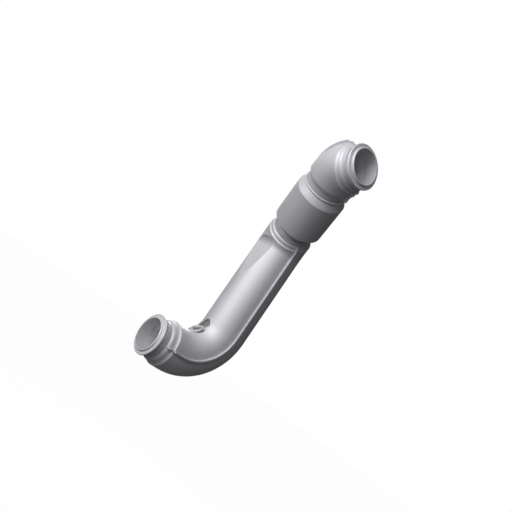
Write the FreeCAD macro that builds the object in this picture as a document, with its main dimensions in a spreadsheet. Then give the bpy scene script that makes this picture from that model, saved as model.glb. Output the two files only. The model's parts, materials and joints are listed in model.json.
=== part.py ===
import FreeCAD, Part
import math
import os
import Sketcher

# Insulated exhaust elbow: a bent inlet pipe and a short outlet pipe joined by a covered
# flex bellows, each pipe wrapped in insulation under a two-half pressed heat shield,
# with a V-band flange at both ends. Millimetres. The origin is the centre of the inlet
# flange's face, +Z runs up the long leg and the inlet bend lies in the XZ plane.

SIZES = {
    # pipes
    "pipe_diameter": 76.2,
    "pipe_wall": 1.5,
    "inlet_straight": 62.5,
    "bend_radius": 94.0,
    "bend_angle": 90.0,
    "leg_straight": 239.0,
    "top_radius": 70.0,
    "top_angle": 46.5,
    "top_swing_angle": 124.5,
    "flex_run": 212.6,
    "outlet_radius": 80.0,
    "outlet_angle": 39.3,
    "outlet_swing_angle": 58.7,
    "outlet_straight": 33.7,
    # flanges
    "flange_diameter": 95.0,
    "flange_bevel": 0.8,
    "flange_rim": 3.0,
    "flange_back": 5.5,
    "flange_hub": 3.2,
    "stub_length": 23.0,
    "pilot_height": 4.8,
    "pilot_wall": 2.4,
    "pilot_chamfer": 0.8,
    # heat shields
    "sheet": 1.5,
    "shield_diameter": 105.4,
    "lip_width": 6.0,
    "end_neck_diameter": 89.0,
    "neck_setback": 12.0,
    "inlet_neck_length": 10.0,
    "inlet_flare_length": 19.0,
    "outlet_neck_length": 7.0,
    "outlet_run": 0.7,
    "flex_neck_diameter": 93.0,
    "top_run": 2.93,
    "top_flare_length": 11.0,
    "top_neck_length": 9.0,
    "upper_run": 0.6,
    "upper_flare_length": 10.0,
    "upper_neck_length": 11.0,
    "spacer_inset": 0.6,
    # flattened patch near the top of the long leg
    "flat_depth": 8.0,
    "flat_length": 84.0,
    "flat_drop": 30.0,
    "flat_angle": 5.4,
    "flat_roll": 20.0,
    # sensor boss and the slot round it
    "boss_diameter": 31.5,
    "boss_bore": 18.5,
    "boss_reach": 54.5,
    "boss_chamfer": 1.2,
    "boss_angle": 45.0,
    "slot_width": 37.0,
    "slot_length": 50.0,
    "slot_offset": 6.5,
    # flex bellows
    "bellows_lead": 15.0,
    "bellows_tail": 4.0,
    "bellows_crest": 100.0,
    "bellows_wall": 0.8,
    "bellows_flat": 2.6,
    "convolutions": 8,
    "cuff_length": 12.0,
    "band_thickness": 3.0,
    "band_width": 10.0,
    "liner_wall": 1.2,
    "liner_grip": 20.0,
    "liner_taper": 12.0,
    "liner_necking": 3.0,
    "liner_overlap": 6.0,
    # cover over the bellows and the ring that carries it
    "cover_lead": 4.1,
    "cover_gap": 1.2,
    "cover_diameter": 114.0,
    "cover_sheet": 1.5,
    "cone_length": 16.0,
    "cone_neck_diameter": 97.2,
    "cone_neck_length": 4.8,
    "bead_radius": 2.5,
    "carrier_inset": 1.0,
    "carrier_land": 3.0,
    # clearances
    "fit_gap": 0.1,
    "run_gap": 0.3,
    "pad_gap": 0.4,
}

doc = FreeCAD.newDocument("exhaust_elbow")


def fill_sheet(sizes):
    """Write the driving dimensions into one sheet, a name and an aliased cell to a row."""
    sheet = doc.addObject("Spreadsheet::Sheet", "Sizes")
    for row, (alias, value) in enumerate(sizes.items(), 1):
        sheet.set("A%d" % row, alias)
        sheet.set("B%d" % row, str(value))
        sheet.setAlias("B%d" % row, alias)
    doc.recompute()
    return sheet


sheet = fill_sheet(SIZES)


def size(expression):
    """Number that an expression on the sheet gives now."""
    result = sheet.evalExpression(expression)
    return float(getattr(result, "Value", result))


# Expressions that several pieces share, all in terms of the sheet.

PIPE_R = "(Sizes.pipe_diameter / 2)"
BORE_R = "(Sizes.pipe_diameter / 2 - Sizes.pipe_wall)"
FLANGE_R = "(Sizes.flange_diameter / 2)"
END_NECK_R = "(Sizes.end_neck_diameter / 2)"
FLEX_NECK_R = "(Sizes.flex_neck_diameter / 2)"
SHIELD_R = "(Sizes.shield_diameter / 2)"
COVER_R = "(Sizes.cover_diameter / 2)"
CONE_NECK_R = "(Sizes.cone_neck_diameter / 2)"

# Distance from each bend's corner to its tangent points.
BEND_TANGENT = "(Sizes.bend_radius * tan(Sizes.bend_angle / 2))"
TOP_TANGENT = "(Sizes.top_radius * tan(Sizes.top_angle / 2))"

# Heights along the flex line, up from the end of the top bend.
TOP_PIPE_END = "(Sizes.top_run + Sizes.top_flare_length + Sizes.top_neck_length + Sizes.bellows_lead)"
BELLOWS_START = "(%s + %s)" % (TOP_TANGENT, TOP_PIPE_END)
TOP_NECK = "(%s - Sizes.bellows_lead)" % BELLOWS_START
COVER_START = "(%s + Sizes.cover_lead)" % BELLOWS_START

# Heights along the flex line, down from the start of the outlet bend.
UPPER_RUN = "(Sizes.flex_run - Sizes.upper_run)"
UPPER_FLARE = "(%s - Sizes.upper_flare_length)" % UPPER_RUN
UPPER_NECK = "(%s - Sizes.upper_neck_length)" % UPPER_FLARE
CONE_NECK_END = "(%s - Sizes.cover_gap)" % UPPER_NECK
CONE_END = "(%s - Sizes.cone_neck_length)" % CONE_NECK_END
COVER_END = "(%s - Sizes.cone_length)" % CONE_END
CARRIER_START = "(%s - Sizes.carrier_inset)" % COVER_END
BELLOWS_END = "(%s - Sizes.bellows_tail - Sizes.cuff_length)" % CARRIER_START

# Where the shields' full sections start at the inlet, and the outlet flare that is left before its bend.
INLET_RUN = "(Sizes.neck_setback + Sizes.inlet_neck_length + Sizes.inlet_flare_length)"
OUTLET_NECK = "(Sizes.neck_setback + Sizes.outlet_neck_length)"
OUTLET_FLARE = "(Sizes.outlet_straight - %s - Sizes.outlet_run)" % OUTLET_NECK
HALF_LEG = "(Sizes.leg_straight / 2)"

# Corner of the top bend, where the flex line starts, in the part's own frame.
TILT = "(Sizes.bend_angle - 90)"
INLET_REACH = "(Sizes.inlet_straight + %s)" % BEND_TANGENT
FLEX_X = "(%s * cos(%s))" % (INLET_REACH, TILT)
FLEX_Z = "(%s + Sizes.leg_straight - %s * sin(%s))" % (BEND_TANGENT, INLET_REACH, TILT)
TOP_CORNER = "vector(%s; 0; %s)" % (FLEX_X, FLEX_Z)


def turn(axis, angle, at="vector(0; 0; 0)"):
    """Placement expression: a turn about one of the axes x, y or z, then a move."""
    axes = {"x": "vector(1; 0; 0)", "y": "vector(0; 1; 0)", "z": "vector(0; 0; 1)"}
    return "placement(%s; rotation(%s; %s))" % (at, axes[axis], angle)


# Frames. In a bend frame the flow starts along +X and turns towards +Z; in a turned
# frame the piece's own axis is +Z.
INLET_BEND = turn("y", TILT)
INLET_AXIS = "%s * %s" % (INLET_BEND, turn("y", "90"))
TOP_BEND = "%s * %s" % (turn("z", "180 - Sizes.top_swing_angle", TOP_CORNER), turn("y", "-90"))
FLEX_AXIS = "%s * %s" % (turn("z", "-1 * Sizes.top_swing_angle", TOP_CORNER), turn("y", "Sizes.top_angle"))
TOP_AXIS = "%s * %s" % (FLEX_AXIS, turn("y", "180", "vector(0; 0; %s)" % TOP_NECK))
OUTLET_BEND = "%s * %s * %s" % (FLEX_AXIS, turn("z", "Sizes.outlet_swing_angle - 180"), turn("y", "-90"))
OUTLET_FACE = (
    "vector({run} + {radius} * sin({angle}) + {end} * cos({angle}); 0; "
    "{radius} - {radius} * cos({angle}) + {end} * sin({angle}))"
).format(run="Sizes.flex_run", radius="Sizes.outlet_radius", angle="Sizes.outlet_angle",
         end="Sizes.outlet_straight")
OUTLET_AXIS = "%s * %s" % (OUTLET_BEND, turn("y", "270 - Sizes.outlet_angle", OUTLET_FACE))


def new_body(name, frame):
    """Empty body with its label, placed in a frame given as an expression."""
    body = doc.addObject("PartDesign::Body", name)
    body.Label = name
    body.setExpression("Placement", frame)
    return body


def new_sketch(body, name, role, offset=None, roll="0"):
    """Sketch on one of the body's own origin planes, moved along its normal and turned about it
    by expressions."""
    sketch = body.newObject("Sketcher::SketchObject", name)
    plane = [feature for feature in body.Origin.OriginFeatures if feature.Role == role][0]
    sketch.AttachmentSupport = [(plane, "")]
    sketch.MapMode = "FlatFace"
    if offset:
        sketch.setExpression("AttachmentOffset", turn("z", roll, "vector(0; 0; %s)" % offset))
    return sketch


def bind(sketch, constraint, name, expression):
    """Add a constraint and tie its value to the sheet."""
    sketch.renameConstraint(sketch.addConstraint(constraint), name)
    sketch.setExpression("Constraints." + name, expression)


def arc_between(start, end, radius, bulge):
    """Arc of a given radius from start to end that bulges to the left (1) or right (-1) of its chord."""
    chord = end - start
    middle = (start + end) * 0.5
    left = FreeCAD.Vector(-chord.y, chord.x, 0).normalize()
    rise = math.sqrt(max(radius ** 2 - (chord.Length / 2) ** 2, 0.0))
    centre = middle - left * bulge * rise
    top = centre + left * bulge * radius
    return Part.Arc(start, top, end)


def draw(sketch, points, arcs=None, closed=True):
    """Outline through points given as pairs of expressions. arcs gives, for the edge that leaves a
    point, its radius and the side that it bulges to; every other edge is straight."""
    arcs = arcs or {}
    corners = [FreeCAD.Vector(size(across), size(along), 0) for across, along in points]
    count = len(corners) if closed else len(corners) - 1
    first = sketch.GeometryCount
    for index in range(count):
        start = corners[index]
        end = corners[(index + 1) % len(corners)]
        if index in arcs:
            radius, bulge = arcs[index]
            edge = arc_between(start, end, size(radius), bulge)
        else:
            edge = Part.LineSegment(start, end)
        sketch.addGeometry(edge, False)
    ends = [edge_ends(sketch, first + index, corners[index]) for index in range(count)]
    for index in range(count):
        tag = "p%d_%d" % (first, index)
        pin(sketch, tag, first + index, ends[index][0], points[index])
        if index in arcs:
            radius = arcs[index][0]
            bind(sketch, Sketcher.Constraint("Radius", first + index, size(radius)), tag + "_r", radius)
        if closed or index + 1 < count:
            after = (index + 1) % count
            sketch.addConstraint(Sketcher.Constraint("Coincident", first + index, ends[index][1],
                                                     first + after, ends[after][0]))
    if not closed:
        pin(sketch, "p%d_%d" % (first, count), first + count - 1, ends[-1][1], points[-1])
    return sketch


def edge_ends(sketch, index, corner):
    """Which end of an edge lies at the corner where it was drawn from, and which is the other."""
    to_first = sketch.getPoint(index, 1).distanceToPoint(corner)
    to_second = sketch.getPoint(index, 2).distanceToPoint(corner)
    return (1, 2) if to_first < to_second else (2, 1)


def pin(sketch, tag, edge, end, point):
    """Tie both coordinates of an edge's end to a pair of expressions."""
    across, along = point
    bind(sketch, Sketcher.Constraint("DistanceX", -1, 1, edge, end, size(across)), tag + "_x", across)
    bind(sketch, Sketcher.Constraint("DistanceY", -1, 1, edge, end, size(along)), tag + "_y", along)


def turned(name, frame, points, arcs=None):
    """Ring or sleeve turned about its own axis, from (radius, height) corners."""
    body = new_body(name, frame)
    section = draw(new_sketch(body, name + "_section", "XZ_Plane"), points, arcs)
    revolution = body.newObject("PartDesign::Revolution", name + "_turned")
    revolution.Profile = section
    revolution.ReferenceAxis = (section, ["V_Axis"])
    revolution.Angle = 360
    return body


def bend_line(start, straight, radius, angle, end):
    """Corners and arc of a straight, bend, straight line in a bend frame; a straight whose outer end is
    None is left out."""
    along = {"s": straight, "r": radius, "a": angle, "e": end}
    points = [
        (straight, "0"),
        ("{s} + {r} * sin({a})".format(**along), "{r} - {r} * cos({a})".format(**along)),
    ]
    if start is not None:
        points.insert(0, (start, "0"))
    arcs = {len(points) - 2: (radius, -1)}
    if end is not None:
        points.append(("{s} + {r} * sin({a}) + {e} * cos({a})".format(**along),
                       "{r} - {r} * cos({a}) + {e} * sin({a})".format(**along)))
    return points, arcs


def inlet_line(start, end):
    """Line of the inlet pipe's bend, from a point on its inlet straight to one on the long leg."""
    return bend_line(start, "Sizes.inlet_straight", "Sizes.bend_radius", "Sizes.bend_angle", end)


def outlet_line(start, end):
    """Line of the outlet pipe's bend, measured from the flex line's start."""
    return bend_line(start, "Sizes.flex_run", "Sizes.outlet_radius", "Sizes.outlet_angle", end)


def top_line(start, end):
    """Line of the bend at the top of the long leg, from a point on the leg to one past the bend."""
    return bend_line(start, "-1 * " + TOP_TANGENT, "Sizes.top_radius", "Sizes.top_angle", end)


def swept(name, frame, line, section, roll="0"):
    """Piece swept along a bend line; section draws its outline, rolled about the line, where it starts."""
    body = new_body(name, frame)
    profile = new_sketch(body, name + "_section", "YZ_Plane", line[0][0][0], roll)
    section(profile)
    points, arcs = line
    spine = draw(new_sketch(body, name + "_line", "XZ_Plane"), points, arcs, closed=False)
    pipe = body.newObject("PartDesign::AdditivePipe", name + "_sweep")
    pipe.Profile = profile
    pipe.Spine = (spine, ["Edge%d" % (number + 1) for number in range(len(points) - 1)])
    return body


def ring_section(outer, inner):
    """Section of a tube: two circles about the line."""
    def section(sketch):
        for number, radius in enumerate((outer, inner)):
            sketch.addGeometry(Part.Circle(FreeCAD.Vector(), FreeCAD.Vector(0, 0, 1), size(radius)), False)
            sketch.addConstraint(Sketcher.Constraint("Coincident", number, 3, -1, 1))
            bind(sketch, Sketcher.Constraint("Radius", number, size(radius)), "radius%d" % number, radius)
    return section


def hat_section(radius, side):
    """Section of one pressed shield half: half a ring with a flat lip along both edges.
    side says which half: z+, z-, y+ or y-."""
    edge = "(%s + Sizes.lip_width)" % radius
    foot = "sqrt(%s^2 - Sizes.sheet^2)" % radius
    inner = "(%s - Sizes.sheet)" % radius
    outline = [(edge, "0"), (edge, "Sizes.sheet"),
               (foot, "Sizes.sheet"), ("0", radius), ("-" + foot, "Sizes.sheet"),
               ("-" + edge, "Sizes.sheet"), ("-" + edge, "0"),
               ("-" + inner, "0"), ("0", inner), (inner, "0")]
    split_along = {"z": lambda point: point, "y": lambda point: (point[1], point[0])}[side[0]]
    sign = "" if side[1] == "+" else "-1 * "
    bulge = 1 if side in ("z-", "y+") else -1

    def place(point):
        return split_along((point[0], sign + point[1]))

    def section(sketch):
        arcs = {2: (radius, bulge), 3: (radius, bulge), 7: (inner, -bulge), 8: (inner, -bulge)}
        draw(sketch, [place(point) for point in outline], arcs)
    return section


def ogee(radius_from, radius_to, start, length):
    """Corners of a flare made of two equal arcs, and the radius of those arcs."""
    step = "(%s - %s)" % (radius_to, radius_from)
    middle = ("((%s + %s) / 2)" % (radius_from, radius_to), "(%s + %s / 2)" % (start, length))
    last = (radius_to, "(%s + %s)" % (start, length))
    bend = "((%s^2 + %s^2) / (4 * %s))" % (length, step, step)
    return middle, last, bend


def shield_end(name, frame, neck, neck_length, flare, straight_lips=False):
    """Necked end of one shield half: half a turn of the neck and flare, and its two lips, whose edges
    follow the flare or run straight on. The neck's end face is at z = 0 and the half lies on the +Y side."""
    body = new_body(name, frame)
    thick = "Sizes.sheet"
    middle, last, bend = ogee(neck, SHIELD_R, neck_length, flare)
    step = "(%s - %s)" % (SHIELD_R, neck)
    lean = "(%s / (2 * %s))" % (thick, bend)
    inner_middle = ("(%s + %s * (%s - 2 * %s))" % (middle[0], lean, step, bend),
                    "(%s + %s * %s)" % (middle[1], lean, flare))
    points = [(neck, "0"), (neck, neck_length), middle, last,
              ("(%s - %s)" % (SHIELD_R, thick), last[1]), inner_middle,
              ("(%s - %s)" % (neck, thick), neck_length), ("(%s - %s)" % (neck, thick), "0")]
    arcs = {1: (bend, -1), 2: (bend, 1),
            4: ("(%s - %s)" % (bend, thick), -1), 5: ("(%s + %s)" % (bend, thick), 1)}
    section = draw(new_sketch(body, name + "_section", "XZ_Plane"), points, arcs)
    half = body.newObject("PartDesign::Revolution", name + "_half")
    half.Profile = section
    half.ReferenceAxis = (section, ["V_Axis"])
    half.Angle = 180
    lips = new_sketch(body, name + "_lip_outline", "XZ_Plane")
    profile = [(neck, neck_length), middle, last]
    for sign, side in (("", 1), ("-1 * ", -1)):
        root = [("(%s - %s / 2)" % (across, thick), along) for across, along in profile]
        edge = [("(%s + Sizes.lip_width)" % across, along) for across, along in reversed(profile)]
        arcs = {0: (bend, -side), 1: (bend, side), 3: (bend, -side), 4: (bend, side)}
        if straight_lips:
            edge = [edge[0], (edge[0][0], neck_length)]
            arcs = {0: (bend, -side), 1: (bend, side)}
        draw(lips, [(sign + across, along) for across, along in root + edge], arcs)
    pad = body.newObject("PartDesign::Pad", name + "_lips")
    pad.Profile = lips
    pad.Reversed = True
    pad.setExpression("Length", thick)
    return body


def join(name, pieces):
    """Fuse pieces into one labelled solid."""
    fused = doc.addObject("Part::MultiFuse", name)
    fused.Shapes = pieces
    fused.Refine = False
    fused.Label = name
    return fused


def cut(name, base, tool):
    """Take a tool away from a piece."""
    result = doc.addObject("Part::Cut", name)
    result.Base = base
    result.Tool = tool
    result.Label = name
    return result


def flange(name, frame):
    """V-band flange with its pilot lip and weld stub; the face is at z = 0 and the stub runs to +Z."""
    pilot = "(%s + Sizes.pilot_wall)" % BORE_R
    hub = "(%s + Sizes.flange_hub)" % PIPE_R
    return turned(name, frame, [
        (BORE_R, "-Sizes.pilot_height"),
        ("%s - Sizes.pilot_chamfer" % pilot, "-Sizes.pilot_height"),
        (pilot, "-Sizes.pilot_height + Sizes.pilot_chamfer"),
        (pilot, "0"),
        ("%s - Sizes.flange_bevel" % FLANGE_R, "0"),
        (FLANGE_R, "Sizes.flange_bevel"),
        (FLANGE_R, "Sizes.flange_rim"),
        (hub, "Sizes.flange_back"),
        (PIPE_R, "Sizes.flange_back + Sizes.flange_hub"),
        (PIPE_R, "Sizes.stub_length"),
        (BORE_R, "Sizes.stub_length"),
    ])


def spacer(name, frame, neck, length):
    """Ring that holds a shield's neck off the pipe."""
    inner = "(%s + Sizes.fit_gap)" % PIPE_R
    outer = "(%s - Sizes.sheet - Sizes.fit_gap)" % neck
    return turned(name, frame, [
        (inner, "Sizes.spacer_inset"),
        (outer, "Sizes.spacer_inset"),
        (outer, length),
        (inner, length),
    ])


def bellows(name):
    """Bellows with its cuffs: a thin wall folded into convolutions, in the flex frame."""
    root = "(%s + Sizes.run_gap)" % PIPE_R
    crest = "(Sizes.bellows_crest / 2)"
    pitch = "((%s - %s) / Sizes.convolutions)" % (BELLOWS_END, BELLOWS_START)
    wall = "Sizes.bellows_wall"
    flat = "Sizes.bellows_flat"
    outside = [("%s + %s" % (root, wall), "%s - Sizes.cuff_length" % BELLOWS_START)]
    inside = [(root, "%s - Sizes.cuff_length" % BELLOWS_START)]
    for fold in range(SIZES["convolutions"]):
        low = "%s + %d * %s" % (BELLOWS_START, fold, pitch)
        high = "%s + %s" % (low, pitch)
        centre = "%s + %s / 2" % (low, pitch)
        outside += [("%s + %s" % (root, wall), "%s + %s / 2 - %s / 2" % (low, flat, wall)),
                    (crest, "%s - %s / 2 - %s / 2" % (centre, flat, wall)),
                    (crest, "%s + %s / 2 + %s / 2" % (centre, flat, wall)),
                    ("%s + %s" % (root, wall), "%s - %s / 2 + %s / 2" % (high, flat, wall))]
        inside += [(root, "%s + %s / 2 + %s / 2" % (low, flat, wall)),
                   ("%s - %s" % (crest, wall), "%s - %s / 2 + %s / 2" % (centre, flat, wall)),
                   ("%s - %s" % (crest, wall), "%s + %s / 2 - %s / 2" % (centre, flat, wall)),
                   (root, "%s - %s / 2 - %s / 2" % (high, flat, wall))]
    outside.append(("%s + %s" % (root, wall), "%s + Sizes.cuff_length" % BELLOWS_END))
    inside.append((root, "%s + Sizes.cuff_length" % BELLOWS_END))
    return turned(name, FLEX_AXIS, outside + inside[::-1])


def band(name, middle):
    """Clamp band round one of the bellows' cuffs."""
    inner = "(%s + 2 * Sizes.run_gap + Sizes.bellows_wall)" % PIPE_R
    outer = "(%s + Sizes.band_thickness)" % inner
    return turned(name, FLEX_AXIS, [
        (inner, "%s - Sizes.band_width / 2" % middle),
        (outer, "%s - Sizes.band_width / 2" % middle),
        (outer, "%s + Sizes.band_width / 2" % middle),
        (inner, "%s + Sizes.band_width / 2" % middle),
    ])


def liner(name):
    """Flow liner: gripped in the end of the lower pipe and necked in where the bellows flexes."""
    wide = "(%s - Sizes.fit_gap)" % BORE_R
    narrow = "(%s - Sizes.liner_necking)" % wide
    grip_start = "%s - Sizes.liner_grip" % BELLOWS_START
    taper_end = "%s + Sizes.liner_taper" % BELLOWS_START
    tip = "%s + Sizes.liner_overlap" % BELLOWS_END
    return turned(name, FLEX_AXIS, [
        (wide, grip_start),
        (wide, BELLOWS_START),
        (narrow, taper_end),
        (narrow, tip),
        ("%s - Sizes.liner_wall" % narrow, tip),
        ("%s - Sizes.liner_wall" % narrow, taper_end),
        ("%s - Sizes.liner_wall" % wide, BELLOWS_START),
        ("%s - Sizes.liner_wall" % wide, grip_start),
    ])


def flex_cover(name):
    """Sheet cover over the bellows: open below, coned in on top and ending in a rolled bead."""
    return turned(name, FLEX_AXIS, [
        (COVER_R, COVER_START),
        (COVER_R, COVER_END),
        (CONE_NECK_R, CONE_END),
        (CONE_NECK_R, CONE_NECK_END),
        ("%s - Sizes.cover_sheet" % CONE_NECK_R, CONE_NECK_END),
        ("%s - Sizes.cover_sheet" % CONE_NECK_R, CONE_END),
        ("%s - Sizes.cover_sheet" % COVER_R, COVER_END),
        ("%s - Sizes.cover_sheet" % COVER_R, COVER_START),
    ], {2: ("Sizes.bead_radius", -1)})


def cover_carrier(name):
    """Turned sleeve on the outlet pipe under the upper shield's neck, with a land for the cover's neck."""
    bore = "(%s + Sizes.fit_gap)" % PIPE_R
    cover_land = "(%s - Sizes.cover_sheet - Sizes.fit_gap)" % CONE_NECK_R
    shield_land = "(%s - Sizes.sheet - Sizes.fit_gap)" % FLEX_NECK_R
    land_top = "%s - Sizes.spacer_inset" % CONE_NECK_END
    return turned(name, FLEX_AXIS, [
        (bore, CARRIER_START),
        (shield_land, CARRIER_START),
        (shield_land, "%s - Sizes.carrier_land" % land_top),
        (cover_land, "%s - Sizes.carrier_land" % land_top),
        (cover_land, land_top),
        (shield_land, land_top),
        (shield_land, UPPER_FLARE),
        (bore, UPPER_FLARE),
    ])


# Boss frame: at the pipe's line in the inlet bend, its axis pointing at the bend's centre.
BOSS_AT = "vector({s} + {r} * sin({p}); 0; {r} - {r} * cos({p}))".format(
    s="Sizes.inlet_straight", r="Sizes.bend_radius", p="Sizes.boss_angle")
BOSS_AXIS = "%s * %s" % (INLET_BEND, turn("y", "-1 * Sizes.boss_angle", BOSS_AT))


def sensor_boss(name):
    """Threaded sensor boss whose foot is cut to the bent pipe that it is welded to."""
    blank = turned(name + "_blank", BOSS_AXIS, [
        ("Sizes.boss_bore / 2", "%s / 2" % PIPE_R),
        ("Sizes.boss_diameter / 2", "%s / 2" % PIPE_R),
        ("Sizes.boss_diameter / 2", "Sizes.boss_reach - Sizes.boss_chamfer"),
        ("Sizes.boss_diameter / 2 - Sizes.boss_chamfer", "Sizes.boss_reach"),
        ("Sizes.boss_bore / 2 + Sizes.boss_chamfer", "Sizes.boss_reach"),
        ("Sizes.boss_bore / 2", "Sizes.boss_reach - Sizes.boss_chamfer"),
    ])
    core = swept(name + "_foot", INLET_BEND, inlet_line("Sizes.stub_length", HALF_LEG),
                 ring_section("%s + Sizes.fit_gap" % PIPE_R, "%s / 4" % PIPE_R))
    return cut(name, blank, core)


def slot_tool(name, grow):
    """Prism of the oblong slot round the boss, larger all round by an expression, up to the bend's centre."""
    body = new_body(name, BOSS_AXIS)
    half_width = "(Sizes.slot_width / 2 + %s)" % grow
    half_run = "((Sizes.slot_length - Sizes.slot_width) / 2)"
    near = "(Sizes.slot_offset - %s)" % half_run
    far = "(Sizes.slot_offset + %s)" % half_run
    sketch = new_sketch(body, name + "_outline", "XY_Plane", "%s / 2" % PIPE_R)
    draw(sketch, [(near, "-1 * " + half_width), (far, "-1 * " + half_width),
                  ("%s + %s" % (far, half_width), "0"),
                  (far, half_width), (near, half_width),
                  ("%s - %s" % (near, half_width), "0")],
         {1: (half_width, -1), 2: (half_width, -1), 4: (half_width, -1), 5: (half_width, -1)})
    pad = body.newObject("PartDesign::Pad", name + "_prism")
    pad.Profile = sketch
    pad.setExpression("Length", "Sizes.bend_radius - %s / 2" % PIPE_R)
    return body


# Flat frame: in the skin of the long leg at the flat's top end, +Z down the leg, +X out through the flat.
FLAT_AXIS = "%s * %s" % (turn("y", "180", "vector(%s; 0; %s - Sizes.flat_drop)" % (FLEX_X, FLEX_Z)),
                         turn("y", "Sizes.flat_angle", "vector(%s - Sizes.flat_depth; 0; 0)" % SHIELD_R))


def flat_tool(name, depth):
    """Block whose lower side is the flattened patch and whose upper end rolls out of it, sunk deeper
    by an expression."""
    body = new_body(name, FLAT_AXIS)
    sunk = "-1 * (%s)" % depth
    roll = "(Sizes.flat_roll + %s)" % depth
    outline = draw(new_sketch(body, name + "_outline", "XZ_Plane"), [
        (sunk, "0"),
        ("Sizes.flat_roll", "-1 * " + roll),
        (SHIELD_R, "-1 * " + roll),
        (SHIELD_R, "Sizes.flat_length + %s" % depth),
        (sunk, "Sizes.flat_length + %s" % depth),
    ], {0: (roll, -1)})
    pad = body.newObject("PartDesign::Pad", name + "_block")
    pad.Profile = outline
    pad.Midplane = True
    pad.setExpression("Length", "2 * %s" % SHIELD_R)
    return body


def flat_patch(name):
    """Sheet of the flattened patch: the skin between the flat block and one a sheet deeper, as far as
    it lies inside the shield."""
    core = swept(name + "_core", TOP_BEND, top_line("-1 * " + HALF_LEG, "Sizes.top_run"),
                 ring_section(SHIELD_R, "%s / 2" % PIPE_R))
    skin = cut(name + "_skin", flat_tool(name + "_deep", "Sizes.sheet"), flat_tool(name + "_face", "0"))
    patch = doc.addObject("Part::Common", name)
    patch.Base = core
    patch.Tool = skin
    return patch


def lower_run(name, section, roll="0"):
    """Piece that follows the lower pipe under the shield, made in two runs that meet half way up the leg.
    The roll turns the upper run's section in line with the lower one's."""
    return [
        swept(name + "_inlet_run", INLET_BEND, inlet_line(INLET_RUN, HALF_LEG), section),
        swept(name + "_top_run", TOP_BEND, top_line("-1 * " + HALF_LEG, "Sizes.top_run"), section, roll),
    ]


def lower_end(name, roll):
    """Necked inlet end of one half of the lower shield."""
    frame = "%s * %s" % (INLET_AXIS, turn("z", roll, "vector(0; 0; Sizes.neck_setback)"))
    return shield_end(name, frame, END_NECK_R, "Sizes.inlet_neck_length", "Sizes.inlet_flare_length")


def top_end(name, roll):
    """Necked top end of one half of the lower shield."""
    frame = "%s * %s" % (TOP_AXIS, turn("z", "%s - Sizes.top_swing_angle" % roll))
    return shield_end(name, frame, FLEX_NECK_R, "Sizes.top_neck_length", "Sizes.top_flare_length")


# Turn that brings a section drawn in the top bend's frame in line with one of the inlet bend's.
TOP_ROLL = "Sizes.top_swing_angle - 180"


def inner_shield(name):
    """Inner half of the lower shield, one pressing with the boss's slot and the flattened patch."""
    formed = join("inner_formed", lower_run("inner", hat_section(SHIELD_R, "z+"), TOP_ROLL) + [
        lower_end("inner_inlet_end", "90"),
        top_end("inner_top_end", "270"),
    ])
    slotted = cut("inner_slotted", formed, slot_tool("shield_slot", "0"))
    opened = cut("inner_opened", slotted, flat_tool("shield_flat", "0"))
    return join(name, [opened, flat_patch("flat_sheet")])


def outer_shield():
    """Outer half of the lower shield, butted up from three pressings: the elbow, the leg and the top bend."""
    section = hat_section(SHIELD_R, "z-")
    leg_line = [("-1 * Sizes.leg_straight", "0"), ("-1 * " + TOP_TANGENT, "0")], {}
    return [
        join("lower_shield_outer", [
            swept("outer_inlet_run", INLET_BEND, inlet_line(INLET_RUN, None), section),
            lower_end("outer_inlet_end", "-90"),
        ]),
        swept("leg_shield_outer", TOP_BEND, leg_line, section, TOP_ROLL),
        join("top_shield_outer", [
            swept("outer_top_run", TOP_BEND, top_line(None, "Sizes.top_run"), section, TOP_ROLL),
            top_end("outer_top_end", "90"),
        ]),
    ]


def lower_insulation(name):
    """Insulation between the lower pipe and its shield, cut clear of the boss and of the flattened patch."""
    section = ring_section("%s - Sizes.sheet - Sizes.pad_gap" % SHIELD_R, "%s + Sizes.pad_gap" % PIPE_R)
    wrap = join(name + "_wrap", lower_run(name, section))
    open_wrap = cut(name + "_open", wrap, slot_tool(name + "_slot", "Sizes.sheet"))
    return cut(name, open_wrap, flat_tool(name + "_flat", "(Sizes.sheet + Sizes.pad_gap)"))


def lower_pipes():
    """Lower pipe as it is welded up: the inlet elbow, drilled under the sensor boss, the straight leg and
    the top elbow."""
    tube = ring_section(PIPE_R, BORE_R)
    leg_frame = turn("z", "0", "vector(%s; 0; %s - Sizes.leg_straight)" % (FLEX_X, FLEX_Z))
    leg_end = "Sizes.leg_straight - %s" % TOP_TANGENT
    bent = swept("inlet_bent_tube", INLET_BEND, inlet_line("Sizes.stub_length", None), tube)
    drill = turned("boss_drill", BOSS_AXIS, [
        ("0", "%s / 2" % PIPE_R),
        ("Sizes.boss_bore / 2", "%s / 2" % PIPE_R),
        ("Sizes.boss_bore / 2", "Sizes.boss_reach"),
        ("0", "Sizes.boss_reach"),
    ])
    return [
        cut("inlet_elbow", bent, drill),
        straight_tube("leg_tube", leg_frame, "0", leg_end),
        swept("top_elbow", TOP_BEND, top_line(None, TOP_PIPE_END), tube),
    ]


def upper_pipes():
    """Outlet pipe as it is welded up: a straight length from the bellows and the outlet elbow."""
    elbow = outlet_line(None, "(Sizes.outlet_straight - Sizes.stub_length)")
    return [
        straight_tube("upper_tube", FLEX_AXIS, BELLOWS_END, "Sizes.flex_run"),
        swept("outlet_elbow", OUTLET_BEND, elbow, ring_section(PIPE_R, BORE_R)),
    ]


def straight_tube(name, frame, start, end):
    """Straight length of the pipe's tube between two heights."""
    return turned(name, frame, [(BORE_R, start), (PIPE_R, start), (PIPE_R, end), (BORE_R, end)])


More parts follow.
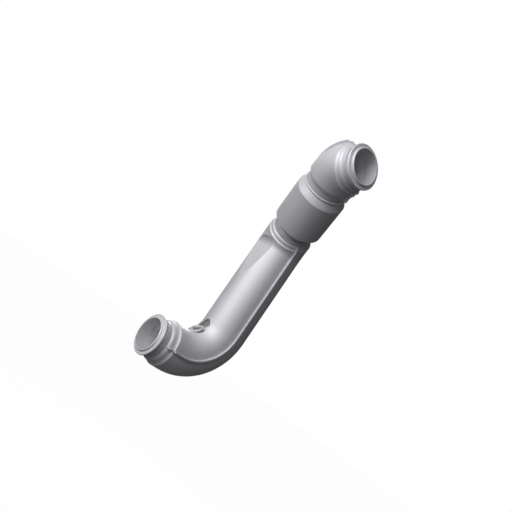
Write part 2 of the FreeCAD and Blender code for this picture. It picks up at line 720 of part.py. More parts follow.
def upper_shield():
    """Both halves of the upper shield, split in the plane of the outlet bend and necked at both ends."""
    line = outlet_line(UPPER_RUN, "Sizes.outlet_run")
    foot = "%s * %s" % (OUTLET_BEND, turn("y", "90", "vector(%s; 0; 0)" % UPPER_NECK))
    halves = []
    for name, side, roll in (("upper_shield_left", "y+", "0"), ("upper_shield_right", "y-", "180")):
        end_frame = "%s * %s" % (OUTLET_AXIS, turn("z", roll, "vector(0; 0; Sizes.neck_setback)"))
        halves.append(join(name, [
            swept(name + "_run", OUTLET_BEND, line, hat_section(SHIELD_R, side)),
            shield_end(name + "_end", end_frame, END_NECK_R, "Sizes.outlet_neck_length", OUTLET_FLARE),
            shield_end(name + "_foot", "%s * %s" % (foot, turn("z", roll)), FLEX_NECK_R,
                       "Sizes.upper_neck_length", "Sizes.upper_flare_length", straight_lips=True),
        ]))
    return halves


def upper_insulation(name):
    """Insulation between the outlet pipe and its shield."""
    section = ring_section("%s - Sizes.sheet - Sizes.pad_gap" % SHIELD_R, "%s + Sizes.pad_gap" % PIPE_R)
    return swept(name, OUTLET_BEND, outlet_line(UPPER_RUN, "Sizes.outlet_run"), section)


def build():
    """Make every piece of the elbow."""
    cuff_middle = "Sizes.cuff_length / 2"
    setback = turn("z", "0", "vector(0; 0; Sizes.neck_setback)")
    pieces = [
        flange("inlet_flange", INLET_AXIS),
        sensor_boss("sensor_boss"),
        lower_insulation("lower_insulation"),
        spacer("inlet_spacer", "%s * %s" % (INLET_AXIS, setback), END_NECK_R, "Sizes.inlet_neck_length"),
        spacer("top_spacer", TOP_AXIS, FLEX_NECK_R, "Sizes.top_neck_length"),
        spacer("outlet_spacer", "%s * %s" % (OUTLET_AXIS, setback), END_NECK_R, "Sizes.outlet_neck_length"),
        band("bellows_lower_band", "%s - %s" % (BELLOWS_START, cuff_middle)),
        bellows("bellows"),
        liner("bellows_liner"),
        band("bellows_upper_band", "%s + %s" % (BELLOWS_END, cuff_middle)),
        flex_cover("flex_cover"),
        cover_carrier("cover_carrier"),
        upper_insulation("upper_insulation"),
        flange("outlet_flange", OUTLET_AXIS),
    ]
    shields = [inner_shield("lower_shield_inner")] + outer_shield() + upper_shield()
    return pieces + lower_pipes() + upper_pipes() + shields


def check(pieces):
    """Stop if any feature failed or any piece is not one sound solid."""
    failed = [item.Name for item in doc.Objects if "Invalid" in item.State or "Error" in item.State]
    if failed:
        raise RuntimeError("failed: " + ", ".join(failed))
    for piece in pieces:
        shape = piece.Shape
        if shape.isNull() or not shape.isValid() or len(shape.Solids) != 1:
            raise RuntimeError("unsound: %s, %d solids" % (piece.Label, len(shape.Solids)))


def export(pieces):
    """Write each piece to its own file."""
    os.makedirs("parts", exist_ok=True)
    for piece in pieces:
        piece.Shape.exportStep("parts/%s.step" % piece.Label)


pieces = build()
doc.recompute()
check(pieces)
export(pieces)
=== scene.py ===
import json
import math

import bmesh
import bpy
from bpy.props import FloatProperty, FloatVectorProperty, IntProperty, PointerProperty
from mathutils import Euler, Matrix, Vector


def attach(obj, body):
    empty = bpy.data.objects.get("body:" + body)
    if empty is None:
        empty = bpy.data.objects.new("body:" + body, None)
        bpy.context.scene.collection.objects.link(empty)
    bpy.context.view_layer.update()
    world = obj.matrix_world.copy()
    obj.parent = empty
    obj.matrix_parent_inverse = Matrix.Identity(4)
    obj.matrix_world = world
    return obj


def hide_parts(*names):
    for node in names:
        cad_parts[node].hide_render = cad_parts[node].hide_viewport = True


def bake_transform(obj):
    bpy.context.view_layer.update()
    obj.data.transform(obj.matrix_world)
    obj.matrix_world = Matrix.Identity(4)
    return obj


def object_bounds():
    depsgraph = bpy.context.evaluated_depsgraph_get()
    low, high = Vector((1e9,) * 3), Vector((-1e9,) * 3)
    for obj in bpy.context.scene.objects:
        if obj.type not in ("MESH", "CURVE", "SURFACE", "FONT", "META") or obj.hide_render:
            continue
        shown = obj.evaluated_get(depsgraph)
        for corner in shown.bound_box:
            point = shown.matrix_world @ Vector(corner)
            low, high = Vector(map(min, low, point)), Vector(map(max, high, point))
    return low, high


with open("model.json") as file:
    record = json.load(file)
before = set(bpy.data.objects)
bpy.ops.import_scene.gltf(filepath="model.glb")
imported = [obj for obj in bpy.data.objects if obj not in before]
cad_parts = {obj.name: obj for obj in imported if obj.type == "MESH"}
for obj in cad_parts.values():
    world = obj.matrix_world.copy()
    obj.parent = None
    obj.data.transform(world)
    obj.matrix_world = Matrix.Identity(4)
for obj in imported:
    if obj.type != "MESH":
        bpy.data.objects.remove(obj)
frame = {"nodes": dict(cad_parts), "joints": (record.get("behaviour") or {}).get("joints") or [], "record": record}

bl_info = {
    "name": "Shielded exhaust elbow",
    "version": (1, 0, 0),
    "blender": (4, 5, 0),
    "location": "View3D > Sidebar > Exhaust",
    "description": "Finishes and small formed pieces of a heat-shielded exhaust elbow",
    "category": "Object",
}

CAD_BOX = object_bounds()
NODES = frame["nodes"]
JOINTS = {joint["name"]: joint for joint in frame["joints"]}
MOUNTS = {mount["name"]: mount for mount in frame["record"]["mounts"]}

FLEX_MIDDLE = Vector(JOINTS["flex_bend"]["pos_m"])
FLEX_LINE = Vector(JOINTS["flex_stretch"]["axis"]).normalized()
INLET_LINE = Vector(MOUNTS["inlet_bore"]["axis"]).normalized()
OUTLET_FACE = Vector(MOUNTS["outlet_bore"]["pos_m"])
OUTLET_LINE = Vector(MOUNTS["outlet_bore"]["axis"]).normalized()
BOSS_MOUTH = Vector(MOUNTS["sensor_boss"]["pos_m"])
BOSS_LINE = Vector(MOUNTS["sensor_boss"]["axis"]).normalized()
BOSS_BORE = MOUNTS["sensor_boss"]["dims"]["r_mm"] / 1000.0

# Points round one turn of each kind of piece.
BELLOWS_ROUND = 72
THREAD_ROUND = 40
WELD_ROUND = 180
BEAD_SIDES = 10
# Steps along half a fold of the bellows.
FOLD_STEPS = 6

# Half widths of the thread's section at its root and its crest, as shares of the pitch.
THREAD_ROOT = 0.45
THREAD_CREST = 0.06

# Ripples of a weld: how many go round, and their height as a share of the bead.
ROOT_RIPPLES = (60, 0.12)
FILLET_RIPPLES = (36, 0.07)
# Middle of the fillet weld, as shares of its size: out from the boss and up from the pipe.
FILLET_OUT = 0.35
FILLET_UP = 0.2

# Lamps and cards stand from the part's middle in the camera's own directions: right, up and
# towards it, in metres. Each has its place and its width.
KEY_STAND = ((-0.94, 2.16, 1.66), 2.1)
FILL_STAND = ((0.24, 0.91, 1.28), 1.0)
BACK_STAND = ((0.30, 0.20, -1.75), 0.8)
CARD_STANDS = {
    "right_card": ((0.9, -0.1, 0.3), 2.4),
    "left_card": ((-1.1, 0.1, -0.7), 1.9),
    "back_card": ((0.9, -0.4, -0.8), 2.6),
}
SENSOR_WIDTH = 36.0
# The low card lies just over the floor.
LOW_CARD_LIFT = 0.03
LOW_CARD_WIDTH = 3.6
FELT_GREY = 0.15
FLOOR_GREY = 0.85
FLOOR_REACH = 12.0
# Share of plain white in the floor as the camera and reflections see it; the rest takes the shadow.
FLOOR_WHITE = 0.98


class Wire:
    """A shader socket that takes part in Python sums; each sum adds a Math node."""

    def __init__(self, finish, socket):
        self.finish = finish
        self.socket = socket

    def math(self, operation, first, second):
        return self.finish.node("ShaderNodeMath", {"operation": operation}, {0: first, 1: second})

    def __add__(self, other):
        return self.math("ADD", self, other)

    def __radd__(self, other):
        return self.math("ADD", other, self)

    def __sub__(self, other):
        return self.math("SUBTRACT", self, other)

    def __rsub__(self, other):
        return self.math("SUBTRACT", other, self)

    def __mul__(self, other):
        return self.math("MULTIPLY", self, other)

    def __rmul__(self, other):
        return self.math("MULTIPLY", other, self)


class Finish:
    """Node tree of one finish. Sums on its wires and one method make all its nodes."""

    def __init__(self, name, world=None):
        self.owner = world or bpy.data.materials.new(name)
        self.owner.use_nodes = True
        self.tree = self.owner.node_tree
        self.tree.nodes.clear()

    def node(self, kind, settings=None, sockets=None, out=0):
        """Add a node: its settings first, then the values or wires of its sockets."""
        made = self.tree.nodes.new(kind)
        for key, value in (settings or {}).items():
            setattr(made, key, value)
        for key, value in (sockets or {}).items():
            if isinstance(value, Wire):
                self.tree.links.new(value.socket, made.inputs[key])
            else:
                made.inputs[key].default_value = value
        return Wire(self, made.outputs[out]) if made.outputs else made

    def place(self):
        """Position on the part, in metres in its own frame."""
        return self.node("ShaderNodeTexCoord", out="Object")

    def vector(self, operation, first, second=None, out=0):
        """One step of vector maths."""
        sockets = {0: first} if second is None else {0: first, 1: second}
        return self.node("ShaderNodeVectorMath", {"operation": operation}, sockets, out)

    def stretched(self, place, scale):
        """A position pulled out along the axes."""
        return self.vector("MULTIPLY", place, scale)

    def along(self, place, origin, line):
        """How far a position lies along a line from its origin."""
        return self.vector("DOT_PRODUCT", self.vector("SUBTRACT", place, origin), line, "Value")

    def radius(self, place, origin, line):
        """How far a position lies from a line."""
        sideways = self.vector("CROSS_PRODUCT", self.vector("SUBTRACT", place, origin), line)
        return self.vector("LENGTH", sideways, out="Value")

    def noise(self, place, scale, detail=2.0, rough=0.5):
        """Cloudy noise about 0.5."""
        sockets = {"Vector": place, "Scale": scale, "Detail": detail, "Roughness": rough}
        return self.node("ShaderNodeTexNoise", None, sockets, out="Fac")

    def lines(self, value, scale, detail=3.0):
        """Noise that changes along one value only, as turning or brushing leaves."""
        sockets = {"W": value, "Scale": scale, "Detail": detail, "Roughness": 0.6}
        return self.node("ShaderNodeTexNoise", {"noise_dimensions": "1D"}, sockets, out="Fac")

    def fade(self, value, low, high):
        """0 at low to 1 at high, smoothly."""
        sockets = {"Value": value, "From Min": low, "From Max": high}
        return self.node("ShaderNodeMapRange", {"interpolation_type": "SMOOTHSTEP"}, sockets, "Result")

    def blend(self, factor, first, second):
        """One colour changing into another."""
        ends = [colour if isinstance(colour, Wire) else (*colour, 1.0) for colour in (first, second)]
        return self.node("ShaderNodeMix", {"data_type": "RGBA"}, {0: factor, 6: ends[0], 7: ends[1]}, 2)

    def bump(self, height, depth, strength=1.0, below=None):
        """Relief of a given depth in metres."""
        sockets = {"Height": height, "Distance": depth, "Strength": strength}
        if below is not None:
            sockets["Normal"] = below
        return self.node("ShaderNodeBump", None, sockets)

    def surface(self, **sockets):
        """Close the tree with the main surface shader."""
        values = {key.replace("_", " "): value for key, value in sockets.items()}
        shader = self.node("ShaderNodeBsdfPrincipled", None, values)
        self.node("ShaderNodeOutputMaterial", None, {"Surface": shader})
        return self.owner


def tint(colour, share):
    """A colour made darker or lighter, up to white."""
    return [min(share * part, 1.0) for part in colour]


def dress(material, *names):
    """Give CAD nodes one finish."""
    for name in names:
        slots = NODES[name].data.materials
        slots.clear()
        slots.append(material)


def new_piece(name, grid, closed_rows, closed_columns, finish):
    """Mesh skin over rows of points, smooth shaded, with a finish."""
    mesh = bmesh.new()
    rows = [[mesh.verts.new(point) for point in row] for row in grid]
    row_count = len(rows) if closed_rows else len(rows) - 1
    column_count = len(rows[0]) if closed_columns else len(rows[0]) - 1
    for i in range(row_count):
        here = rows[i]
        after = rows[(i + 1) % len(rows)]
        for j in range(column_count):
            k = (j + 1) % len(here)
            mesh.faces.new((here[j], here[k], after[k], after[j])).smooth = True
    bmesh.ops.recalc_face_normals(mesh, faces=mesh.faces)
    data = bpy.data.meshes.new(name)
    mesh.to_mesh(data)
    mesh.free()
    data.materials.append(finish)
    piece = bpy.data.objects.new(name, data)
    bpy.context.scene.collection.objects.link(piece)
    return piece


def across(line):
    """Two directions square to a line and to each other."""
    first = line.orthogonal().normalized()
    return first, line.cross(first).normalized()


def turned_rows(profile, middle, line, segments):
    """Rows of points of a profile of (radius, height) turned about a line."""
    first, second = across(line)
    rows = []
    for step in range(segments):
        angle = 2.0 * math.pi * step / segments
        out = first * math.cos(angle) + second * math.sin(angle)
        rows.append([middle + line * height + out * radius for radius, height in profile])
    return rows


def colour_setting(name, description, default):
    """Property of a colour."""
    return FloatVectorProperty(
        name=name, description=description, subtype="COLOR", min=0.0, max=1.0, default=default)


def share_setting(name, description, default):
    """Property of a share from 0 to 1."""
    return FloatProperty(
        name=name, description=description, subtype="FACTOR", min=0.0, max=1.0, default=default)


def length_setting(name, description, default):
    """Property of a length in metres."""
    return FloatProperty(name=name, description=description, unit="LENGTH", default=default)


def power_setting(name, description, default):
    """Property of a lamp's power in watts."""
    return FloatProperty(name=name, description=description, unit="POWER", default=default)


class FinishSettings(bpy.types.PropertyGroup):
    """Colours and gloss of the metal and the insulation."""

    shield_colour: colour_setting("Shield", "Pressed shield sheet", (0.50, 0.50, 0.53))
    shield_roughness: share_setting("Shield roughness", "Dullness of the pressed sheet", 0.52)
    # Lighter than the bare drawn tube: part of this colour is painted light that brightens the shaded insides of
    # the bores.
    tube_colour_and_painted_bore_light: colour_setting("Tube", "Drawn tube", (0.72, 0.72, 0.75))
    tube_roughness: share_setting("Tube roughness", "Dullness of the drawn tube", 0.50)
    flange_colour: colour_setting("Flange", "Turned flanges", (0.60, 0.60, 0.63))
    boss_colour: colour_setting("Boss", "Turned sensor boss and its thread", (0.43, 0.43, 0.45))
    cover_colour: colour_setting("Cover", "Rolled cover sheet", (0.47, 0.47, 0.50))
    bellows_colour: colour_setting("Bellows", "Thin bellows sheet", (0.46, 0.46, 0.46))
    bellows_roughness: share_setting("Bellows roughness", "Dullness of the thin sheet", 0.34)
    weld_dark: colour_setting("Weld, dark", "Dark patches of the weld metal", (0.34, 0.33, 0.33))
    weld_light: colour_setting("Weld, light", "Light patches of the weld metal", (0.54, 0.54, 0.55))
    insulation_colour: colour_setting("Insulation", "Fibre mat", (0.36, 0.36, 0.35))


class BellowsSettings(bpy.types.PropertyGroup):
    """Shape of the bellows that shows in the gap under its cover."""

    root: length_setting("Root radius", "Inside of the folds", 0.0384)
    crest: length_setting("Crest radius", "Outside of the folds", 0.0500)
    length: length_setting("Folded length", "From the first fold to the last", 0.084)
    cuff: length_setting("Cuff", "Plain length at either end", 0.012)
    folds: IntProperty(name="Folds", description="Number of folds, even", default=8, min=2)


class ThreadSettings(bpy.types.PropertyGroup):
    """Thread in the sensor boss."""

    pitch: length_setting("Pitch", "Advance in a turn", 0.0015)
    depth: length_setting("Depth", "Height of the thread", 0.0007)
    length: length_setting("Length", "Threaded length", 0.012)
    start: length_setting("Start", "First turn above the boss's mount", 0.002)
    sink: length_setting("Sink", "How far the thread's root lies in the bore's wall", 0.0001)


class WeldSettings(bpy.types.PropertyGroup):
    """Welds that show: the root beads inside both flanges and the fillet round the boss."""

    bore: length_setting("Bore radius", "Inside of the pipes", 0.0366)
    stub: length_setting("Stub", "From a flange's face to its weld", 0.023)
    root_width: length_setting("Root width", "Width of a root bead", 0.0026)
    root_height: length_setting("Root height", "How far a root bead stands up", 0.0005)
    pipe: length_setting("Pipe radius", "Outside of the pipes", 0.0381)
    bend: length_setting("Bend radius", "Inlet bend, at the pipe's middle", 0.094)
    boss: length_setting("Boss radius", "Outside of the boss", 0.01575)
    boss_drop: length_setting("Boss drop", "From the boss's mount to the pipe's middle", 0.0503)
    fillet: length_setting("Fillet", "Size of the fillet round the boss", 0.0021)


class StageSettings(bpy.types.PropertyGroup):
    """Camera, floor and lamps."""

    camera_at: FloatVectorProperty(
        name="Camera", description="Where the camera stands", subtype="TRANSLATION", unit="LENGTH",
        default=(-0.8213, -1.2672, 0.0679))
    camera_turn: FloatVectorProperty(
        name="Turn", description="How the camera is turned", subtype="EULER", unit="ROTATION",
        default=(math.radians(98.91), math.radians(-34.24), math.radians(-41.42)))
    lens: FloatProperty(name="Lens", description="Focal length", unit="CAMERA", default=50.0)
    floor_drop: length_setting("Floor drop", "Floor below the part", 0.45)
    key_power: power_setting("Key", "Power of the main lamp", 80.0)
    fill_power: power_setting("Fill", "Power of the second lamp", 7.0)
    back_power: power_setting("Back", "Power of the lamp behind the part", 16.0)
    ambient: share_setting("Ambient", "Even light from all round", 0.12)


class ElbowSettings(bpy.types.PropertyGroup):
    """All settings of the elbow's looks."""

    finishes: PointerProperty(type=FinishSettings)
    bellows: PointerProperty(type=BellowsSettings)
    thread: PointerProperty(type=ThreadSettings)
    welds: PointerProperty(type=WeldSettings)
    stage: PointerProperty(type=StageSettings)


def settings():
    return bpy.context.scene.exhaust_elbow


def sheet_finish(name, colour, roughness, grain):
    """Satin sheet: cloudy tone, fine grain that follows the draw, and faint handling marks."""
    finish = Finish(name)
    place = finish.place()
    cloud = finish.noise(place, 9.0, 3.0)
    fine = finish.noise(finish.stretched(place, grain), 260.0, 4.0, 0.65)
    marks = finish.fade(finish.noise(place, 34.0, 6.0, 0.7), 0.60, 0.74)
    tone = finish.blend(cloud, tint(colour, 0.90), tint(colour, 1.06))
    tone = finish.blend(marks * 0.22, tone, tint(colour, 0.72))
    gloss = roughness - 0.07 + 0.08 * cloud + 0.09 * fine + 0.05 * marks
    relief = finish.bump(fine, 0.00012, 0.35, finish.bump(cloud, 0.0012, 0.25))
    return finish.surface(Base_Color=tone, Metallic=0.28, Roughness=gloss, Normal=relief)


class EXHAUST_OT_shields(bpy.types.Operator):
    """Finish of the pressed shield halves"""

    bl_idname = "exhaust.shields"
    bl_label = "Heat shields"

    def execute(self, context):
        look = settings().finishes
        steel = sheet_finish("shield_sheet", look.shield_colour, look.shield_roughness, (1.0, 1.0, 0.12))
        dress(steel, "lower_shield_inner", "lower_shield_outer", "leg_shield_outer", "top_shield_outer")
        upper = sheet_finish("upper_shield_sheet", look.shield_colour, look.shield_roughness, (0.5, 0.2, 0.5))
        dress(upper, "upper_shield_left", "upper_shield_right")
        return {"FINISHED"}


class EXHAUST_OT_tubes(bpy.types.Operator):
    """Finish of the drawn tubes and the rings on them"""

    bl_idname = "exhaust.tubes"
    bl_label = "Tubes and spacers"

    def execute(self, context):
        look = settings().finishes
        # The tube colour is partly the drawn tube's own tone and partly painted light in the shaded bores.
        steel = sheet_finish("drawn_tube_and_painted_bore_light", look.tube_colour_and_painted_bore_light, look.tube_roughness, (1.0, 1.0, 0.08))
        dress(steel, "inlet_elbow", "leg_tube", "top_elbow", "upper_tube", "outlet_elbow")
        dress(steel, "inlet_spacer", "top_spacer", "outlet_spacer")
        return {"FINISHED"}


def turned_finish(name, colour, origin, line):
    """Turned steel: rings of tool marks about the line, brighter on the ridges."""
    finish = Finish(name)
    place = finish.place()
    rings = finish.lines(finish.radius(place, origin, line) + finish.along(place, origin, line), 2600.0)
    cloud = finish.noise(place, 22.0, 3.0)
    tone = finish.blend(0.5 * cloud + 0.5 * rings, tint(colour, 0.88), tint(colour, 1.08))
    relief = finish.bump(rings, 0.00006, 0.5)
    gloss = 0.38 + 0.16 * rings + 0.06 * cloud
    return finish.surface(Base_Color=tone, Metallic=0.3, Roughness=gloss, Normal=relief)


class EXHAUST_OT_flanges(bpy.types.Operator):
    """Finish of the turned flanges and the sensor boss"""

    bl_idname = "exhaust.flanges"
    bl_label = "Flanges and boss"

    def execute(self, context):
        look = settings().finishes
        inlet = turned_finish("inlet_flange_turned", look.flange_colour, Vector(), INLET_LINE)
        dress(inlet, "inlet_flange")
        outlet = turned_finish("outlet_flange_turned", look.flange_colour, OUTLET_FACE, OUTLET_LINE)
        dress(outlet, "outlet_flange")
        boss = turned_finish("boss_turned", look.boss_colour, BOSS_MOUTH, BOSS_LINE)
        dress(boss, "sensor_boss")
        return {"FINISHED"}


class EXHAUST_OT_cover(bpy.types.Operator):
    """Finish of the rolled cover and its carrier"""

    bl_idname = "exhaust.cover"
    bl_label = "Flex cover"

    def execute(self, context):
        colour = settings().finishes.cover_colour
        finish = Finish("rolled_cover")
        place = finish.place()
        height = finish.along(place, FLEX_MIDDLE, FLEX_LINE)
        brush = finish.lines(height, 1900.0, 4.0)
        cloud = finish.noise(place, 11.0, 3.0)
        marks = finish.fade(finish.noise(place, 40.0, 6.0, 0.7), 0.62, 0.76)
        tone = finish.blend(0.6 * cloud + 0.4 * brush, tint(colour, 0.90), tint(colour, 1.07))
        tone = finish.blend(0.2 * marks, tone, tint(colour, 0.7))
        gloss = 0.46 + 0.12 * brush + 0.05 * cloud
        relief = finish.bump(brush, 0.00005, 0.4)
        steel = finish.surface(Base_Color=tone, Metallic=0.25, Roughness=gloss, Normal=relief)
        dress(steel, "flex_cover", "cover_carrier")
        return {"FINISHED"}


class EXHAUST_OT_bellows(bpy.types.Operator):
    """Folded bellows in two halves, with its bands and liner"""

    bl_idname = "exhaust.bellows"
    bl_label = "Bellows"

    def execute(self, context):
        shape = settings().bellows
        look = settings().finishes
        steel = sheet_finish("bellows_sheet", look.bellows_colour, look.bellows_roughness, (1.0, 1.0, 1.0))
        dress(steel, "bellows", "bellows_liner", "bellows_lower_band", "bellows_upper_band")
        half = shape.length / 2.0
        steps = shape.folds * FOLD_STEPS
        middle_radius = (shape.root + shape.crest) / 2.0
        swing = (shape.crest - shape.root) / 2.0
        halves = (("bellows_lower_half", -1.0, "lower", "flex"), ("bellows_upper_half", 1.0, "flex", "upper"))
        for name, side, first, second in halves:
            profile = [(shape.root, side * (half + shape.cuff))]
            for step in range(steps, -1, -1):
                height = half * step / steps
                wave = math.cos(2.0 * math.pi * shape.folds * (half - height) / shape.length)
                profile.append((middle_radius - swing * wave, side * height))
            rows = turned_rows(profile, FLEX_MIDDLE, FLEX_LINE, BELLOWS_ROUND)
            piece = new_piece(name, rows, True, False, steel)
            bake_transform(piece)
            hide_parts("bellows")
        return {"FINISHED"}


class EXHAUST_OT_insulation(bpy.types.Operator):
    """Finish of the fibre mat"""

    bl_idname = "exhaust.insulation"
    bl_label = "Insulation"

    def execute(self, context):
        colour = settings().finishes.insulation_colour
        finish = Finish("fibre_mat")
        place = finish.place()
        fibre = finish.noise(finish.stretched(place, (1.0, 0.25, 1.0)), 900.0, 5.0, 0.75)
        clump = finish.noise(place, 90.0, 4.0)
        tone = finish.blend(0.5 * fibre + 0.5 * clump, tint(colour, 0.7), tint(colour, 1.1))
        relief = finish.bump(fibre + clump, 0.0008, 0.8)
        mat = finish.surface(Base_Color=tone, Roughness=0.95, Normal=relief)
        dress(mat, "lower_insulation", "upper_insulation")
        return {"FINISHED"}


class EXHAUST_OT_thread(bpy.types.Operator):
    """Thread in the sensor boss"""

    bl_idname = "exhaust.thread"
    bl_label = "Boss thread"

    def execute(self, context):
        shape = settings().thread
        first, second = across(BOSS_LINE)
        last = int(shape.length / shape.pitch) * THREAD_ROUND
        root = BOSS_BORE + shape.sink
        flank = BOSS_LINE * shape.pitch * THREAD_ROOT
        land = BOSS_LINE * shape.pitch * THREAD_CREST
        rows = []
        for step in range(last + 1):
            angle = 2.0 * math.pi * step / THREAD_ROUND
            out = first * math.cos(angle) + second * math.sin(angle)
            centre = BOSS_MOUTH + BOSS_LINE * (shape.start - shape.pitch * step / THREAD_ROUND)
            taper = min(1.0, step / THREAD_ROUND, (last - step) / THREAD_ROUND)
            crest = BOSS_BORE - shape.depth * taper
            rows.append([
                centre + out * root + flank,
                centre + out * crest + land,
                centre + out * crest - land,
                centre + out * root - flank,
            ])
        finish = turned_finish("boss_thread_cut", settings().finishes.boss_colour, BOSS_MOUTH, BOSS_LINE)
        piece = new_piece("boss_thread", rows, False, True, finish)
        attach(piece, "lower")
        return {"FINISHED"}


def weld_finish():
    """Weld metal: light and dark patches under fine ripples."""
    look = settings().finishes
    finish = Finish("weld_metal")
    place = finish.place()
    cloud = finish.noise(place, 160.0, 4.0, 0.6)
    tone = finish.blend(cloud, look.weld_dark, look.weld_light)
    relief = finish.bump(finish.noise(place, 1400.0, 3.0), 0.0001, 0.5)
    return finish.surface(Base_Color=tone, Metallic=0.3, Roughness=0.36 + 0.22 * cloud, Normal=relief)


def ripple(angle, ripples):
    """Size of a rippled bead at an angle round it, about 1."""
    count, height = ripples
    return 1.0 + height * math.cos(angle * count)


def bead(name, stations, body, finish):
    """Closed weld bead through stations of (middle, out, up, half width out, half width up)."""
    rows = []
    for middle, out, up, wide, high in stations:
        ring = []
        for side in range(BEAD_SIDES):
            angle = 2.0 * math.pi * side / BEAD_SIDES
            ring.append(middle + out * wide * math.cos(angle) + up * high * math.sin(angle))
        rows.append(ring)
    piece = new_piece(name, rows, True, True, finish)
    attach(piece, body)


class EXHAUST_OT_welds(bpy.types.Operator):
    """Root welds inside the flanges and the fillet weld round the boss"""

    bl_idname = "exhaust.welds"
    bl_label = "Welds"

    def execute(self, context):
        shape = settings().welds
        metal = weld_finish()
        ends = (
            ("inlet_root_weld", Vector(), INLET_LINE, "lower"),
            ("outlet_root_weld", OUTLET_FACE, OUTLET_LINE, "upper"),
        )
        for name, face, line, body in ends:
            first, second = across(line)
            stations = []
            for step in range(WELD_ROUND):
                angle = 2.0 * math.pi * step / WELD_ROUND
                out = first * math.cos(angle) + second * math.sin(angle)
                middle = face - line * shape.stub + out * shape.bore
                high = shape.root_height * ripple(angle, ROOT_RIPPLES)
                stations.append((middle, out, line, high, shape.root_width / 2.0))
            bead(name, stations, body, metal)
        side = Vector((0.0, 1.0, 0.0))
        flow = side.cross(BOSS_LINE)
        foot = BOSS_MOUTH - BOSS_LINE * shape.boss_drop
        reach = shape.boss + shape.fillet * FILLET_OUT
        stations = []
        for step in range(WELD_ROUND):
            angle = 2.0 * math.pi * step / WELD_ROUND
            out = flow * math.cos(angle) + side * math.sin(angle)
            inner = shape.bend - math.sqrt(shape.pipe ** 2 - (reach * math.sin(angle)) ** 2)
            height = shape.bend - math.sqrt(inner ** 2 - (reach * math.cos(angle)) ** 2)
            middle = foot + BOSS_LINE * (height + shape.fillet * FILLET_UP) + out * reach
            size = shape.fillet * ripple(angle, FILLET_RIPPLES)
            stations.append((middle, out, BOSS_LINE, size, size))
        bead("boss_fillet_weld", stations, "lower", metal)
        return {"FINISHED"}


def seen(finish):
    """1 where the camera, a reflection or a see-through ray meets the stage."""
    names = ("Is Camera Ray", "Is Glossy Ray", "Is Transmission Ray")
    camera, glossy, through = [finish.node("ShaderNodeLightPath", out=name) for name in names]
    return camera.math("MAXIMUM", camera.math("MAXIMUM", camera, glossy), through)


def card(name, at, target, size, finish):
    """Square card that faces a target and shows only in reflections and in the soft light."""
    facing = (target - at).to_track_quat("-Z", "Y").to_matrix()
    corners = [[at + facing @ Vector((x * size, y * size, 0.0)) / 2.0 for x in (-1, 1)] for y in (-1, 1)]
    piece = new_piece(name, corners, False, False, finish)
    piece.visible_camera = False
    piece.visible_shadow = False


def lamp(name, at, target, size, power):
    """Square soft lamp that points at a target."""
    light = bpy.data.lights.new(name, "AREA")
    light.size = size
    light.energy = power
    holder = bpy.data.objects.new(name, light)
    holder.location = at
    holder.rotation_euler = (target - at).to_track_quat("-Z", "Y").to_euler()
    bpy.context.scene.collection.objects.link(holder)


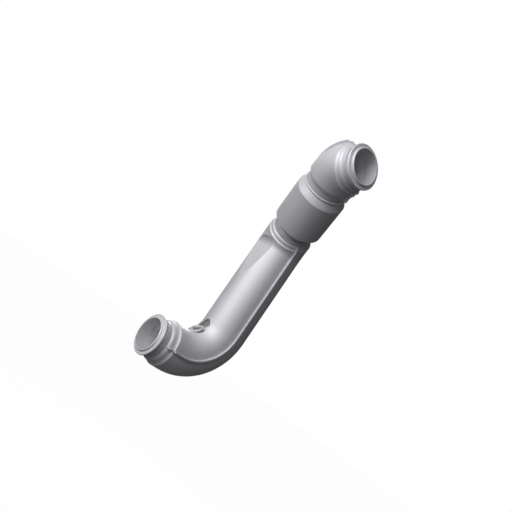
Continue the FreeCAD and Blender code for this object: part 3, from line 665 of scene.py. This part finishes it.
class EXHAUST_OT_stage(bpy.types.Operator):
    """Pale floor, soft lamps and the camera"""

    bl_idname = "exhaust.stage"
    bl_label = "Stage"

    def execute(self, context):
        scene = context.scene
        stage = settings().stage
        scene.view_settings.view_transform = "Standard"
        low, high = Vector(CAD_BOX[0]), Vector(CAD_BOX[1])
        middle = (low + high) / 2.0

        camera = bpy.data.cameras.new("camera")
        camera.lens = stage.lens
        camera.sensor_width = SENSOR_WIDTH
        holder = bpy.data.objects.new("camera", camera)
        holder.location = stage.camera_at
        holder.rotation_euler = stage.camera_turn
        scene.collection.objects.link(holder)
        scene.camera = holder

        axes = Euler(stage.camera_turn).to_matrix()
        for name, (place, width), watts in (
            ("key", KEY_STAND, stage.key_power),
            ("fill", FILL_STAND, stage.fill_power),
            ("back", BACK_STAND, stage.back_power),
        ):
            lamp(name, middle + axes @ Vector(place), middle, width, watts)

        height = low.z - stage.floor_drop
        felt = Finish("dark_felt")
        nap = felt.node("ShaderNodeBsdfDiffuse", None, {"Color": (FELT_GREY, FELT_GREY, FELT_GREY, 1.0)})
        felt.node("ShaderNodeOutputMaterial", None, {"Surface": nap})
        for name, (place, width) in CARD_STANDS.items():
            card(name, middle + axes @ Vector(place), middle, width, felt.owner)
        low_place = Vector((middle.x, middle.y, height + LOW_CARD_LIFT))
        card("low_card", low_place, middle, LOW_CARD_WIDTH, felt.owner)

        ambient = Finish("sky", scene.world or bpy.data.worlds.new("sky"))
        scene.world = ambient.owner
        grey = [stage.ambient] * 3
        tone = ambient.blend(seen(ambient), grey, (1.0, 1.0, 1.0))
        light = ambient.node("ShaderNodeBackground", None, {"Color": tone})
        ambient.node("ShaderNodeOutputWorld", None, {"Surface": light})

        paper = Finish("pale_floor")
        matt = paper.node("ShaderNodeBsdfDiffuse", None, {"Color": (FLOOR_GREY, FLOOR_GREY, FLOOR_GREY, 1.0)})
        white = paper.node("ShaderNodeEmission", None, {"Color": (1.0, 1.0, 1.0, 1.0)})
        both = paper.node("ShaderNodeMixShader", None, {0: FLOOR_WHITE * seen(paper), 1: matt, 2: white})
        paper.node("ShaderNodeOutputMaterial", None, {"Surface": both})
        corners = [[middle + Vector((x, y, 0.0)) * FLOOR_REACH for x in (-1, 1)] for y in (-1, 1)]
        for row in corners:
            for corner in row:
                corner.z = height
        floor = new_piece("floor", corners, False, False, paper.owner)
        return {"FINISHED"}


class EXHAUST_PT_panel(bpy.types.Panel):
    """Lists the elbow's steps"""

    bl_label = "Exhaust elbow"
    bl_idname = "EXHAUST_PT_panel"
    bl_space_type = "VIEW_3D"
    bl_region_type = "UI"
    bl_category = "Exhaust"

    def draw(self, context):
        for step in STEPS:
            self.layout.operator(step.bl_idname)


STEPS = (
    EXHAUST_OT_shields,
    EXHAUST_OT_tubes,
    EXHAUST_OT_flanges,
    EXHAUST_OT_cover,
    EXHAUST_OT_bellows,
    EXHAUST_OT_insulation,
    EXHAUST_OT_thread,
    EXHAUST_OT_welds,
    EXHAUST_OT_stage,
)
CLASSES = (
    FinishSettings,
    BellowsSettings,
    ThreadSettings,
    WeldSettings,
    StageSettings,
    ElbowSettings,
    *STEPS,
    EXHAUST_PT_panel,
)


def register():
    for item in CLASSES:
        bpy.utils.register_class(item)
    bpy.types.Scene.exhaust_elbow = PointerProperty(type=ElbowSettings)


def unregister():
    del bpy.types.Scene.exhaust_elbow
    for item in reversed(CLASSES):
        bpy.utils.unregister_class(item)


def main():
    register()
    bpy.ops.exhaust.shields()
    bpy.ops.exhaust.tubes()
    bpy.ops.exhaust.flanges()
    bpy.ops.exhaust.cover()
    bpy.ops.exhaust.bellows()
    bpy.ops.exhaust.insulation()
    bpy.ops.exhaust.thread()
    bpy.ops.exhaust.welds()
    bpy.ops.exhaust.stage()


if __name__ == "__main__":
    main()
